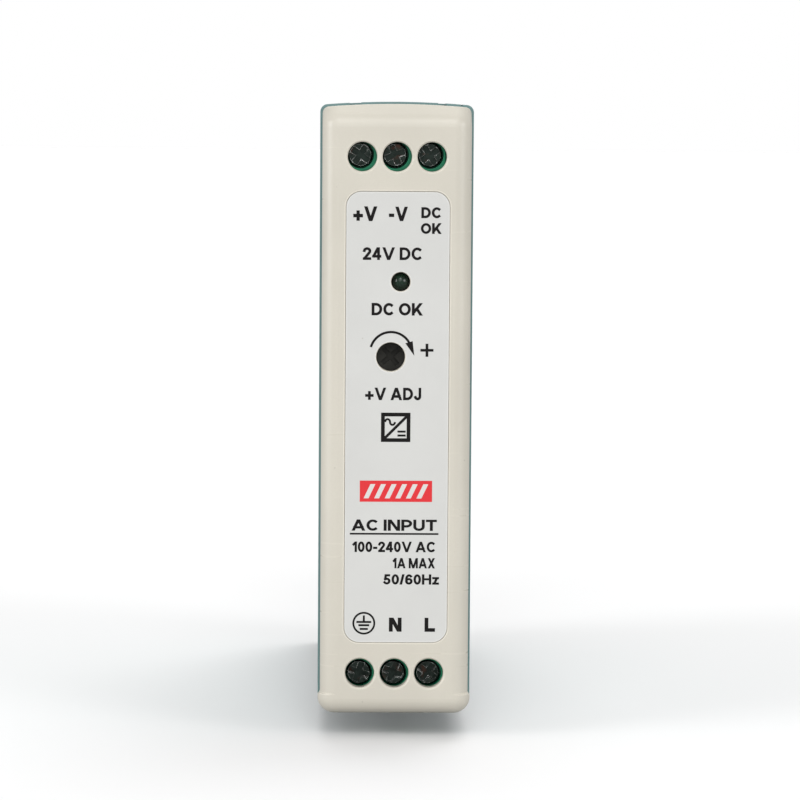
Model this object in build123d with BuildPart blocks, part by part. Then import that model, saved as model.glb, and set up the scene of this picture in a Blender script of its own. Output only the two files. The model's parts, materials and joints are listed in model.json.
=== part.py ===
from build123d import *
import os

# Slim 24 V power supply for a 35 mm mounting rail, in millimetres.
# Origin: centre of the face that rests on the rail. +X right, +Y back towards the rail, +Z up.
# A position written as a pair is (y, z) on the main board. A range written as a pair is (low, high).

# ---------------------------------------------------------------- casing
WIDTH = 22.5  # across the rail, one and a quarter 18 mm modules
TOP_Z = 38.5  # crown of the arched top
BOTTOM_Z = -51.5
FRONT_Y = -94.5  # face of the front cover
FOOT_Y = 5.5  # back of the hook and of the foot, behind the rail's flanges
SPLIT_Y = -90.5  # joint between the front cover and the body
WALL = 1.8
TOP_BOW = 0.5  # rise of the top across its width
TOP_CORNER_R = 1.1
BOTTOM_CORNER_R = 2.45
GAP = 0.1  # assembly clearance between moulded parts
SEAM_W = 0.24  # groove along the joint of the two shells
SEAM_DEPTH = 0.2

# Seat for a 35 x 7.5 mm rail
SEAT_HALF = 15.9  # half height of the face that rests on the rail
SEAT_RELIEF = 0.2
HOOK_LIP_Z = 16.0
HOOK_TOP_Z = 17.9
HOOK_HEIGHT = 10.0
FLANGE_SLOT = 1.4  # room for the rail's 1 mm flange
FOOT_TOP_Z = -18.3
BACK_CHAMFER = 1.5

# Vents, panels and joints of the two body shells
VENT_W = 1.8
SIDE_VENT_Y = [-70 + 6.5 * i for i in range(10)]
SIDE_VENT_Z = (27.0, -40.0)
SIDE_VENT_L = 9.0
TOP_VENT_Y = (-64.0, -44.0, -24.0)
TOP_VENT_X = (-6.4, -3.2, 0.0, 3.2)
TOP_VENT_L = 15.0
PANEL_Y = (-72.0, -12.0)  # recessed panel on each side
PANEL_Z = (-30.0, 17.0)
PANEL_DEPTH = 0.3
CLIP_Y = (-70.0, -40.0, -12.0)  # snap tabs of the side cover
CLIP_W = 6.0
CLIP_T = 1.1
CLIP_TIP_X = 4.9
CATCH_H = 0.7
CATCH_L = 1.6
WINDOW_PLAY = 0.2  # room round a snap in its window
RIB_Y = (-55.0, -25.0)
RIB_HALF = 4.0
RIB_T = 1.4
RIB_REACH = 1.2  # how far a rib overlaps the main board's edge
PAD_HALF = (2.0, 1.0)  # half sizes in y and z of the pads that hold the main board
PAD_INSET = 1.4
WIRE_WINDOW_HALF = 7.2
RIM_L = 1.2  # bar of the body's rim in front of each wire window
RIM_NOTCHES = ((-7.0, -5.25), (6.0, 7.2))
RIM_NOTCH_H = 1.1

# ---------------------------------------------------------------- front cover
COVER_INSET = 0.33  # the body's rim stands this far outside the cover
COVER_TOP_R = 1.0
FACE_EDGE_R = 2.4
FACET_H = 2.25  # slope above the face, as high as it is deep
FACET_BLEND_R = 2.7
SKIRT_H = 3.05  # the cover is full width over this height at the bottom
SKIRT_SHOULDER = 0.5
COVER_SIDE_T = 1.5
FLANGE_T = 1.1  # flange that slides into the body
FLANGE_L = 3.5
FLANGE_ROOT = 1.5
COVER_CATCH_Z = (20.0, -32.0)
COVER_CATCH_L = 8.0
COVER_CATCH_Y = (1.1, 2.2)  # behind the joint
COVER_CATCH_H = 0.9
HOLE_EDGE = 0.2  # chamfer round each hole in the face
LABEL_X = 0.15
LABEL_Z = -7.65
LABEL_W = 15.05
LABEL_H = 66.1
LABEL_R = 2.2
LABEL_T = 0.2
LABEL_MARGIN = 0.1
POCKET_DEPTH = 0.25
LED_X, LED_Z = 0.6, 12.3
LED_HOLE_R = 1.4
TRIMMER_X, TRIMMER_Z = -0.8, 1.3
TRIMMER_HOLE_R = 2.12

# ---------------------------------------------------------------- terminals
PITCH = 5.08
POLES = (-PITCH, 0.0, PITCH)
ACCESS_R = 2.15  # screwdriver holes in the cover
# name: (height of the holes, wire side, how far the board holds the block off its holes in x and z)
ROWS = {"output": (30.5, 1, -0.3, 0.24), "input": (-45.3, -1, -0.12, -0.22)}
BLOCK_W = 15.24
BLOCK_D = 12.2
BLOCK_FRONT_Y = FRONT_Y + WALL + GAP
BLOCK_WIRE_H = 4.05  # from the screw's axis to the face where the wires enter
BLOCK_INNER_H = 5.2  # from the screw's axis to the opposite face
BLOCK_EDGE = 0.3
WELL_PLAY = 0.2
SCREW_R = 1.5
HEAD_R = 1.8
HEAD_H = 1.75
HEAD_DEPTH = 0.6  # head below the block's face
HEAD_EDGE = 0.2
SEAT_PLAY = 0.05
SEAT_T = 1.0  # floor of the driver well
RUNNING = 0.06  # radial clearance of a running fit
CROSS_L = 3.1
CROSS_W = 0.95
CROSS_TIP_R = 0.25
CROSS_DEPTH = 1.1
CROSS_TURNS = {"output": (55, 20, 34), "input": (72, 68, 55)}  # degrees from the x axis
CAGE_L = 5.6
CAGE_TRAVEL = 2.3
CAGE_FREE = 0.2  # room in front of the clamp when it is fully risen
CAGE_FRONT_T = 1.3
CAGE_REAR_T = 0.8
CAGE_SIDE_T = 0.45
CAGE_HALF_X = 2.0
CAGE_HALF_Z = 2.2
CAGE_EDGE_R = 0.25
WIRE_HALF_X = 1.8
BAR_HALF_X = 1.4
BAR_T = 0.85
BAR_REACH = 2.2  # from the screw's axis towards the wire
BAR_ROOT = 3.7  # from the screw's axis to the far side of the bar's root
PIN_W = 1.0
PIN_OUT = 1.2  # pins and leads stand this far out of the terminal board

# ---------------------------------------------------------------- boards
BOARD_T = 1.6
TERMINAL_BOARD_HALF_W = 9.2
BOARD_MARGIN = 0.4
FRONT_BOARD_Y = BLOCK_FRONT_Y + BLOCK_D  # front face of the terminal board
MAIN_X = 6.6  # component face of the main board
MAIN_Y = (FRONT_BOARD_Y + BOARD_T + 0.3, -3.0)
MAIN_Z = (-48.0, 34.6)
LEAD_R = 0.4
LEAD_HOLE_R = 0.5
LEAD_END_X = MAIN_X + BOARD_T + 0.9

# Lamp, adjuster and header on the terminal board
LED_R = 1.3
LED_TIP_Y = FRONT_Y + 0.15
LED_L = 5.3
LED_FLANGE_R = 1.6
LED_FLANGE_T = 1.0
LED_LEAD_R = 0.25
LED_LEADS_X = (LED_X - 0.64, LED_X + 0.64)
TRIMMER_HALF = 3.3
TRIMMER_H = 4.6
ROTOR_R = 2.5
ROTOR_Y = (FRONT_Y + WALL + 0.3, FRONT_BOARD_Y - 1.7)
ROTOR_SLOT_L = 3.2
ROTOR_SLOT_W = 0.7
ROTOR_SLOT_DEPTH = 0.45
ROTOR_TURN = 40  # degrees
HEADER_PITCH = 2.54
HEADER_Z = [-11.4 + HEADER_PITCH * i for i in range(8)]
HEADER_X = 4.2
HEADER_D = 2.5
HEADER_PIN = 0.32  # half the side of a square pin
HEADER_BEND = 1.6  # from the main board's front edge to the back of the pins' bend

# ---------------------------------------------------------------- parts on the main board
FUSE, FUSE_R, FUSE_H = (-69.5, -43.0), 4.2, 8.0
THERMISTOR, THERMISTOR_R, THERMISTOR_T = (-59.0, -42.5), 4.5, 4.0
VARISTOR, VARISTOR_R, VARISTOR_T = (-49.5, -42.0), 5.0, 3.8
Y_CAP, Y_CAP_R, Y_CAP_T = (-14.5, -6.0), 4.0, 3.6
DISC_STAND = 1.6  # a disc's rim above the board
DISC_PITCH = 5.0  # between the leads of discs, cans and drums
X_CAP, X_CAP_H = (-71.0, -27.0), 12.0
X_CAP_HALF = (3.0, 6.5)
CHOKE, CHOKE_X = (-59.5, -27.0), -0.8
CHOKE_OUTER_R = 6.0
CHOKE_INNER_R = 3.2
CHOKE_T = 5.0
WINDING_T = 0.8
WINDING_PLAY = 0.02
WINDING_SPLIT = 1.2  # half the space between the two windings
BRIDGE, BRIDGE_H = (-47.5, -27.0), 3.4
BRIDGE_HALF = (3.2, 4.2)
BULK_Y, BULK_Z, BULK_R = -31.0, (-46.0, -21.0), 6.5
BULK_X = MAIN_X - BULK_R - 0.2
GROOVE_R = 0.6
GROOVE_DROP = 2.5
SINK_X = (-8.6, MAIN_X - 0.2)
SINK_Y = (-12.0, -10.5)
SINK_T = 1.5
SINK_LIP = 5.0
SINK_Z = {"primary": (-46.0, -18.0), "output": (5.0, 33.0)}
DEVICE_X = (-7.8, 2.4)
DEVICE_T = 4.4
DEVICE_HALF_Z = 5.0
DEVICE_LEG_Y = SINK_Y[0] - 2.4
DEVICE_LEGS = (-2.54, 0.0, 2.54)
DEVICE_LEG_HALF = (0.25, 0.4)
FIXING_X = -5.4
FIXING_R = 1.45
FIXING_HEAD_R = 2.4
FIXING_HEAD_H = 2.0
FIXING_END = 2.4  # screw beyond the plate
CORE = (-50.0, -3.0)
CORE_HALF = (2.95, 10.0, 10.2)
CORE_AIR_GAP = 0.03
CORE_WINDOW_Z = (2.95, 7.05)
CORE_WINDOW_HALF_Y = 7.0
BOBBIN_HALF_Y = 6.9
BOBBIN_BORE = 3.1
BOBBIN_WALL = 0.7
BOBBIN_FLANGE = (6.3, 6.9)
BOBBIN_FLANGE_T = 0.8
BOBBIN_RAIL_X = 3.2
BOBBIN_RAIL_END = 1.5  # rail beyond the core
BOBBIN_PIN_Y = 9.8
BOBBIN_PINS = (-5.0, 0.0, 5.0)
COIL_HALF = (6.0, 6.6)
COIL_R = 1.8
CONTROLLER, CONTROLLER_HALF = (-24.0, -13.0), (1.95, 2.45)
CONTROLLER_H = 1.6
CONTROLLER_FEET = (-1.9, -0.63, 0.63, 1.9)
OPTO, OPTO_HALF = (-25.0, 1.5), (2.3, 3.2)
OPTO_H = 3.6
OUTPUT_CAPS = ((-28.0, 14.0), (-28.0, 27.0), (-54.0, 26.5))
OUTPUT_CAP_R = 5.0
OUTPUT_CAP_H = 13.0
INDUCTOR = (-41.0, 25.5)
INDUCTOR_R = 4.6
INDUCTOR_H = 11.0
INDUCTOR_FLANGE = (5.2, 1.5)  # radius and thickness
CHIP_Y = (-66.0, -60.0, -54.0, -48.0)
CHIP_Z = (12.0, 16.5)
CHIP_HALF = (1.0, 0.6)
CHIP_H = 0.6

# ---------------------------------------------------------------- rail latch
LATCH_HALF_W = 4.9
LATCH_Y = (1.3, 4.3)
LATCH_LIP_Z = -16.0
LATCH_END_Z = BOTTOM_Z - 3.6
LATCH_SIDE_PLAY = 0.15
LATCH_RAMP = 1.2
LATCH_WINDOW_HALF = 2.2
LATCH_GAP_HALF = 3.9  # half width of the opening behind the latch
TOOL_SLOT_HALF = 2.6
TOOL_SLOT_Z = (LATCH_END_Z + 1.2, LATCH_END_Z + 2.6)
POST_HALF = 1.9
POST_T = 1.5
POST_PLAY = 0.15
SPRING_R = 1.25
SPRING_WIRE_R = 0.25
SPRING_TURNS = 6
SPRING_PLAY = 0.05
SPRING_Z = (-36.6, -26.0)

# ---------------------------------------------------------------- worked out from these
HALF_W = WIDTH / 2
INNER_HALF_W = HALF_W - WALL
INNER_TOP_Z = TOP_Z - TOP_BOW - WALL
INNER_BOTTOM_Z = BOTTOM_Z + WALL
TOP_WALL = (INNER_TOP_Z, TOP_Z)
BOTTOM_WALL = (BOTTOM_Z, INNER_BOTTOM_Z)
COVER_TOP_Z = TOP_Z - COVER_INSET
COVER_INNER_X = HALF_W - COVER_INSET - COVER_SIDE_T
COVER_BACK_Y = FRONT_Y + WALL
HEAD_Y = (BLOCK_FRONT_Y + HEAD_DEPTH, BLOCK_FRONT_Y + HEAD_DEPTH + HEAD_H)
HEAD_SEAT_Y = HEAD_Y[1] + SEAT_PLAY
CHAMBER_FRONT_Y = HEAD_SEAT_Y + SEAT_T
CAGE_OPEN_Y = CHAMBER_FRONT_Y + CAGE_FREE + CAGE_TRAVEL  # front of the clamp when it is open
CHAMBER_REAR_Y = CAGE_OPEN_Y + CAGE_L + GAP
BAR_Y = (CAGE_OPEN_Y + CAGE_FRONT_T + 0.2, CAGE_OPEN_Y + CAGE_FRONT_T + 0.2 + BAR_T)
SHANK_END_Y = BAR_Y[0] - 0.25
PIN_END_Y = FRONT_BOARD_Y + BOARD_T + PIN_OUT
BOARD_DEPTH = (FRONT_BOARD_Y, FRONT_BOARD_Y + BOARD_T)
BOARD_X = (MAIN_X, MAIN_X + BOARD_T)

lead_spots = []  # (y, z) of every component lead in the main board


# ---------------------------------------------------------------- helpers
def block(x, y, z, mode=Mode.ADD):
    """A box between two corners, each axis given as (low, high)."""
    with Locations(((x[0] + x[1]) / 2, (y[0] + y[1]) / 2, (z[0] + z[1]) / 2)):
        Box(x[1] - x[0], y[1] - y[0], z[1] - z[0], mode=mode)


def rod(axis, start, length, radius, mode=Mode.ADD):
    """A cylinder from its start point along +X, +Y or +Z."""
    turn = {"x": (0, 90, 0), "y": (-90, 0, 0), "z": (0, 0, 0)}[axis]
    with Locations(start):
        Cylinder(radius, length, rotation=turn, align=(Align.CENTER, Align.CENTER, Align.MIN), mode=mode)


def tube(axis, start, length, outer_r, inner_r):
    """A tube from its start point along an axis."""
    rod(axis, start, length, outer_r)
    rod(axis, start, length, inner_r, Mode.SUBTRACT)


def span(a, b):
    """Two positions as a (low, high) pair."""
    return (min(a, b), max(a, b))


def around(centre, half):
    """The (low, high) pair of a width centred on a position."""
    return (centre - half, centre + half)


def save(part, name):
    """Label a finished piece and write it to its own STEP file."""
    part.label = name
    export_step(part, f"parts/{name}.step")


def arched_outline(half_w, bottom, top, corner_r, y):
    """A square-bottomed outline with an arched top, seen from the front, at depth y."""
    with BuildSketch(Plane.XZ.offset(-y)) as outline:
        with BuildLine():
            side = Polyline(
                (-half_w, top - TOP_BOW), (-half_w, bottom), (half_w, bottom), (half_w, top - TOP_BOW)
            )
            ThreePointArc(side @ 1, (0, top), side @ 0)
        make_face()
        fillet(outline.vertices().group_by(Axis.Y)[-1], corner_r)
    return outline.sketch


os.makedirs("parts", exist_ok=True)


# ---------------------------------------------------------------- body
def side_outline():
    """The body seen from the side, with the hook, the rail seat and the foot."""
    with BuildSketch(Plane.YZ) as outline:
        with BuildLine():
            Polyline(
                (SPLIT_Y, BOTTOM_Z),
                (FOOT_Y - BACK_CHAMFER, BOTTOM_Z),
                (FOOT_Y, BOTTOM_Z + BACK_CHAMFER),
                (FOOT_Y, FOOT_TOP_Z),
                (-SEAT_RELIEF, FOOT_TOP_Z),
                (-SEAT_RELIEF, -SEAT_HALF),
                (0, -SEAT_HALF),
                (0, SEAT_HALF),
                (-SEAT_RELIEF, SEAT_HALF),
                (-SEAT_RELIEF, HOOK_TOP_Z),
                (FLANGE_SLOT, HOOK_TOP_Z),
                (FLANGE_SLOT, HOOK_LIP_Z),
                (FOOT_Y, HOOK_LIP_Z),
                (FOOT_Y, HOOK_LIP_Z + HOOK_HEIGHT),
                (0, HOOK_LIP_Z + HOOK_HEIGHT + FOOT_Y),
                (0, TOP_Z - BACK_CHAMFER),
                (-BACK_CHAMFER, TOP_Z),
                (SPLIT_Y, TOP_Z),
                close=True,
            )
        make_face()
    return outline.sketch


def body_blank():
    """The body's full outer form, before it is divided into the tub and the side cover."""
    with BuildPart() as blank:
        extrude(side_outline(), amount=HALF_W, both=True)
        extrude(
            arched_outline(HALF_W, BOTTOM_Z - 1, TOP_Z, TOP_CORNER_R, FOOT_Y),
            amount=FOOT_Y - SPLIT_Y,
            mode=Mode.INTERSECT,
        )
        low_edges = blank.edges().filter_by(Axis.Y).group_by(Axis.Z)[0]
        fillet(low_edges, BOTTOM_CORNER_R)
    return blank.part


def cut_side_wall(wall_x, panel_x):
    """Vents, a shallow panel and the front cover's catch windows in one side wall."""
    for vent_y in SIDE_VENT_Y:
        for vent_z in SIDE_VENT_Z:
            with BuildSketch(Plane.YZ.offset(wall_x[0])) as slot:
                with Locations((vent_y, vent_z)):
                    SlotOverall(SIDE_VENT_L, VENT_W, rotation=90)
            extrude(slot.sketch, amount=wall_x[1] - wall_x[0], mode=Mode.SUBTRACT)
    block(panel_x, PANEL_Y, PANEL_Z, Mode.SUBTRACT)
    window_y = (SPLIT_Y + COVER_CATCH_Y[0] - WINDOW_PLAY, SPLIT_Y + COVER_CATCH_Y[1] + WINDOW_PLAY)
    for catch_z in COVER_CATCH_Z:
        block(wall_x, window_y, around(catch_z, COVER_CATCH_L / 2 + WINDOW_PLAY), Mode.SUBTRACT)


def seam_groove():
    """The groove round the outside of the joint between the tub and the side cover."""
    with BuildPart() as groove:
        with BuildSketch(Plane.YZ.offset(INNER_HALF_W - SEAM_W / 2)) as ring:
            add(side_outline())
            offset(amount=-SEAM_DEPTH, kind=Kind.INTERSECTION, mode=Mode.SUBTRACT)
        extrude(ring.sketch, amount=SEAM_W)
        # the arched top is lower here than at its crown
        top_z = TOP_Z - TOP_BOW * (INNER_HALF_W / HALF_W) ** 2
        block(around(INNER_HALF_W, SEAM_W / 2), (SPLIT_Y, -BACK_CHAMFER), (top_z - SEAM_DEPTH, TOP_Z))
    return groove.part


HOUSING = body_blank()
SEAM = seam_groove()

with BuildPart() as body_tub:
    add(HOUSING)
    block((INNER_HALF_W, HALF_W), (SPLIT_Y, FOOT_Y), (BOTTOM_Z, TOP_Z), Mode.SUBTRACT)
    block(around(0, INNER_HALF_W), (SPLIT_Y, -WALL), (INNER_BOTTOM_Z, INNER_TOP_Z), Mode.SUBTRACT)
    # wire windows in the top and bottom walls, behind a bar of the rim
    for wall_z in (TOP_WALL, BOTTOM_WALL):
        block(around(0, WIRE_WINDOW_HALF), (SPLIT_Y + RIM_L, CHAMBER_REAR_Y), wall_z, Mode.SUBTRACT)
    for notch_x in RIM_NOTCHES:
        block(notch_x, (SPLIT_Y, SPLIT_Y + RIM_L), (TOP_Z - RIM_NOTCH_H, TOP_Z), Mode.SUBTRACT)
    # ventilation slots through the top and bottom walls
    for vent_y in TOP_VENT_Y:
        for vent_x in TOP_VENT_X:
            with BuildSketch(Plane.XY.offset(BOTTOM_Z)) as top_slot:
                with Locations((vent_x, vent_y)):
                    SlotOverall(TOP_VENT_L, VENT_W, rotation=90)
            extrude(amount=TOP_Z - BOTTOM_Z, mode=Mode.SUBTRACT)
    cut_side_wall((-HALF_W, -INNER_HALF_W), (-HALF_W, -HALF_W + PANEL_DEPTH))
    # windows for the side cover's snap tabs
    window_x = (CLIP_TIP_X - WINDOW_PLAY, CLIP_TIP_X + CATCH_L + WINDOW_PLAY)
    for clip_y in CLIP_Y:
        for wall_z in (TOP_WALL, BOTTOM_WALL):
            block(window_x, around(clip_y, CLIP_W / 2 + WINDOW_PLAY), wall_z, Mode.SUBTRACT)
    # ribs that the main board rests on
    rib_x = (MAIN_X - RIB_T - GAP, MAIN_X - GAP)
    for rib_y in RIB_Y:
        block(rib_x, around(rib_y, RIB_HALF), (MAIN_Z[1] - RIB_REACH, INNER_TOP_Z))
        block(rib_x, around(rib_y, RIB_HALF), (INNER_BOTTOM_Z, MAIN_Z[0] + RIB_REACH))
    # channel of the rail latch, open at both ends and along the back
    block(
        around(0, LATCH_HALF_W + LATCH_SIDE_PLAY),
        (LATCH_Y[0] - GAP, LATCH_Y[1] + GAP),
        (BOTTOM_Z, FOOT_TOP_Z),
        Mode.SUBTRACT,
    )
    block(around(0, LATCH_GAP_HALF), (LATCH_Y[1], FOOT_Y), (BOTTOM_Z, FOOT_TOP_Z), Mode.SUBTRACT)
    # post that carries the fixed end of the latch spring
    block(around(0, POST_HALF), (LATCH_Y[0] - 0.3, LATCH_Y[1] - 0.2), (SPRING_Z[0] - POST_T, SPRING_Z[0]))
    add(SEAM, mode=Mode.SUBTRACT)
save(body_tub.part, "body_tub")

with BuildPart() as side_cover:
    add(HOUSING)
    block((-HALF_W, INNER_HALF_W), (SPLIT_Y, FOOT_Y), (BOTTOM_Z, TOP_Z), Mode.SUBTRACT)
    cut_side_wall((INNER_HALF_W, HALF_W), (HALF_W - PANEL_DEPTH, HALF_W))
    # snap tabs along the top and bottom
    for clip_y in CLIP_Y:
        for wall_z, direction in ((INNER_TOP_Z, 1), (INNER_BOTTOM_Z, -1)):
            near = wall_z - direction * GAP
            tab_y = around(clip_y, CLIP_W / 2)
            block((CLIP_TIP_X, INNER_HALF_W), tab_y, span(near, near - direction * CLIP_T))
            block((CLIP_TIP_X, CLIP_TIP_X + CATCH_L), tab_y, span(near, near + direction * CATCH_H))
    # pads that hold the main board against its ribs
    for rib_y in RIB_Y:
        for pad_z in (MAIN_Z[0] + PAD_INSET, MAIN_Z[1] - PAD_INSET):
            pad_x = (BOARD_X[1] + GAP, INNER_HALF_W)
            block(pad_x, around(rib_y, PAD_HALF[0]), around(pad_z, PAD_HALF[1]))
    add(SEAM, mode=Mode.SUBTRACT)
save(side_cover.part, "side_cover")


# ---------------------------------------------------------------- front cover and label
def cover_form(half_w):
    """A solid cap: a slope above its face, a blend between them, rounded corners and edges."""
    with BuildPart() as form:
        with BuildSketch(Plane.XZ.offset(-SPLIT_Y)) as outline:
            with Locations((0, (BOTTOM_Z + COVER_TOP_Z) / 2)):
                Rectangle(2 * half_w, COVER_TOP_Z - BOTTOM_Z)
            fillet(outline.vertices().group_by(Axis.Y)[0], BOTTOM_CORNER_R)
        extrude(amount=SPLIT_Y - FRONT_Y)
        chamfer(form.faces().sort_by(Axis.Y)[0].edges().sort_by(Axis.Z)[-1], FACET_H)
        fillet(form.faces().sort_by(Axis.Y)[0].edges().sort_by(Axis.Z)[-1], FACET_BLEND_R)
        rim = form.edges().filter_by(Axis.Y, reverse=True)
        rim = rim.filter_by(lambda edge: edge.center().Y < SPLIT_Y - GAP)
        rim = rim.filter_by(lambda edge: abs(edge.center().X) > half_w / 2 or edge.center().Z < 0)
        fillet(rim, FACE_EDGE_R)
        extrude(
            arched_outline(half_w, BOTTOM_Z - 1, COVER_TOP_Z, COVER_TOP_R, SPLIT_Y),
            amount=SPLIT_Y - FRONT_Y,
            mode=Mode.INTERSECT,
        )
    return form.part


def cover_skirt():
    """The full-width foot of the cover, with sloped shoulders."""
    narrow = HALF_W - COVER_INSET
    top = BOTTOM_Z + SKIRT_H
    with BuildPart() as skirt:
        add(cover_form(HALF_W))
        with BuildSketch(Plane.XZ.offset(-SPLIT_Y)) as foot:
            with BuildLine():
                Polyline(
                    (-narrow, top),
                    (-HALF_W, top - SKIRT_SHOULDER),
                    (-HALF_W, BOTTOM_Z - 1),
                    (HALF_W, BOTTOM_Z - 1),
                    (HALF_W, top - SKIRT_SHOULDER),
                    (narrow, top),
                    close=True,
                )
            make_face()
        extrude(amount=SPLIT_Y - FRONT_Y, mode=Mode.INTERSECT)
    return skirt.part


def cut_face_hole(x, z, radius):
    """A hole through the face, with its front edge broken."""
    rod("y", (x, FRONT_Y - 1, z), WALL + 2, radius, Mode.SUBTRACT)
    with Locations(Location((x, FRONT_Y, z), (-90, 0, 0))):
        Cone(radius + HOLE_EDGE, radius, HOLE_EDGE, align=(Align.CENTER, Align.CENTER, Align.MIN),
             mode=Mode.SUBTRACT)


with BuildPart() as front_cover:
    add(cover_form(HALF_W - COVER_INSET))
    add(cover_skirt())
    # hollow behind the face
    flange_z = (INNER_BOTTOM_Z + GAP, INNER_TOP_Z - GAP)
    block(around(0, COVER_INNER_X), (COVER_BACK_Y, SPLIT_Y), flange_z, Mode.SUBTRACT)
    # flanges that slide into the body, with their roots and catches
    flange_x = INNER_HALF_W - GAP
    for side in (-1, 1):
        inner_x = side * (flange_x - FLANGE_T)
        block(span(inner_x, side * flange_x), (SPLIT_Y - FLANGE_ROOT, SPLIT_Y + FLANGE_L), flange_z)
        block(span(inner_x, side * COVER_INNER_X), (SPLIT_Y - FLANGE_ROOT, SPLIT_Y), flange_z)
        for catch_z in COVER_CATCH_Z:
            block(
                span(side * flange_x, side * (flange_x + COVER_CATCH_H)),
                (SPLIT_Y + COVER_CATCH_Y[0], SPLIT_Y + COVER_CATCH_Y[1]),
                around(catch_z, COVER_CATCH_L / 2),
            )
    # screwdriver holes, lamp window and adjuster hole
    for row_z, wire_side, shift_x, shift_z in ROWS.values():
        for pole_x in POLES:
            cut_face_hole(pole_x, row_z, ACCESS_R)
    rod("y", (LED_X, FRONT_Y - 1, LED_Z), WALL + 2, LED_HOLE_R, Mode.SUBTRACT)
    rod("y", (TRIMMER_X, FRONT_Y - 1, TRIMMER_Z), WALL + 2, TRIMMER_HOLE_R, Mode.SUBTRACT)
    # shallow pocket for the label
    with BuildSketch(Plane.XZ.offset(-FRONT_Y + 1)) as pocket:
        with Locations((LABEL_X, LABEL_Z)):
            RectangleRounded(LABEL_W + 2 * LABEL_MARGIN, LABEL_H + 2 * LABEL_MARGIN, LABEL_R + LABEL_MARGIN)
    extrude(amount=-1 - POCKET_DEPTH, mode=Mode.SUBTRACT)
save(front_cover.part, "front_cover")

with BuildPart() as front_label:
    with BuildSketch(Plane.XZ.offset(-FRONT_Y - POCKET_DEPTH)):
        with Locations((LABEL_X, LABEL_Z)):
            RectangleRounded(LABEL_W, LABEL_H, LABEL_R)
        with Locations((LED_X, LED_Z)):
            Circle(LED_HOLE_R + LABEL_MARGIN, mode=Mode.SUBTRACT)
        with Locations((TRIMMER_X, TRIMMER_Z)):
            Circle(TRIMMER_HOLE_R + LABEL_MARGIN, mode=Mode.SUBTRACT)
    extrude(amount=LABEL_T)
save(front_label.part, "front_label")


# ---------------------------------------------------------------- terminals
def terminal_block(axis_z, wire_side, shift_x):
    """A three-pole green block: driver wells, clamp chambers, wire holes and contact slots."""
    with BuildPart() as terminal:
        height = span(axis_z - wire_side * BLOCK_INNER_H, axis_z + wire_side * BLOCK_WIRE_H)
        block(around(shift_x, BLOCK_W / 2), (BLOCK_FRONT_Y, FRONT_BOARD_Y), height)
        chamfer(terminal.faces().sort_by(Axis.Y)[0].edges(), BLOCK_EDGE)
        for pole_x in POLES:
            x = pole_x + shift_x
            well = HEAD_SEAT_Y - BLOCK_FRONT_Y
            rod("y", (x, BLOCK_FRONT_Y, axis_z), well, HEAD_R + WELL_PLAY, Mode.SUBTRACT)
            rod("y", (x, HEAD_SEAT_Y, axis_z), SEAT_T + GAP, SCREW_R + RUNNING, Mode.SUBTRACT)
            chamber_x = around(x, CAGE_HALF_X + GAP)
            chamber_z = around(axis_z, CAGE_HALF_Z + GAP)
            block(chamber_x, (CHAMBER_FRONT_Y, CHAMBER_REAR_Y), chamber_z, Mode.SUBTRACT)
            # wire hole from the outside into the chamber
            wire_y = (BAR_Y[1] - GAP, CAGE_OPEN_Y + CAGE_L - CAGE_REAR_T)
            wire_z = span(axis_z + wire_side * CAGE_HALF_Z, axis_z + wire_side * BLOCK_WIRE_H)
            block(around(x, WIRE_HALF_X), wire_y, wire_z, Mode.SUBTRACT)
            # slot for the contact bar's root and its pin
            slot_y = (BAR_Y[0] - SEAT_PLAY, FRONT_BOARD_Y)
            root_z = span(axis_z - wire_side * CAGE_HALF_Z, axis_z - wire_side * (BAR_ROOT + SEAT_PLAY))
            block(around(x, BAR_HALF_X + SEAT_PLAY), slot_y, root_z, Mode.SUBTRACT)
    return terminal.part


def terminal_screw(x, axis_z, turn):
    """A captive clamping screw with a cross recess, turned to its own angle."""
    with BuildPart() as screw:
        rod("y", (x, HEAD_Y[0], axis_z), HEAD_H, HEAD_R)
        chamfer(screw.faces().sort_by(Axis.Y)[0].edges(), HEAD_EDGE)
        with BuildSketch(Plane.XZ.offset(-HEAD_Y[0])) as recess:
            with Locations(Location((x, axis_z), turn)):
                RectangleRounded(CROSS_L, CROSS_W, CROSS_TIP_R)
                RectangleRounded(CROSS_W, CROSS_L, CROSS_TIP_R)
        extrude(amount=-CROSS_DEPTH, mode=Mode.SUBTRACT)
        rod("y", (x, HEAD_Y[1], axis_z), SHANK_END_Y - HEAD_Y[1], SCREW_R)
        chamfer(screw.faces().sort_by(Axis.Y)[-1].edges(), HEAD_EDGE)
    return screw.part


def clamp_cage(x, axis_z):
    """A rising clamp: a threaded front plate, two cheeks and the plate that lifts the wire."""
    with BuildPart() as cage:
        height = around(axis_z, CAGE_HALF_Z)
        block(around(x, CAGE_HALF_X), (CAGE_OPEN_Y, CAGE_OPEN_Y + CAGE_L), height)
        mouth_y = (CAGE_OPEN_Y + CAGE_FRONT_T, CAGE_OPEN_Y + CAGE_L - CAGE_REAR_T)
        block(around(x, CAGE_HALF_X - CAGE_SIDE_T), mouth_y, height, Mode.SUBTRACT)
        rod("y", (x, CAGE_OPEN_Y, axis_z), CAGE_FRONT_T, SCREW_R + RUNNING, Mode.SUBTRACT)
        fillet(cage.edges().filter_by(Axis.Z).group_by(Axis.Y)[-1], CAGE_EDGE_R)
    return cage.part


def pin_height(axis_z, wire_side):
    """Low and high z of a row's board pins."""
    root_z = axis_z - wire_side * BAR_ROOT
    return span(root_z, root_z + wire_side * PIN_W)


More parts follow.
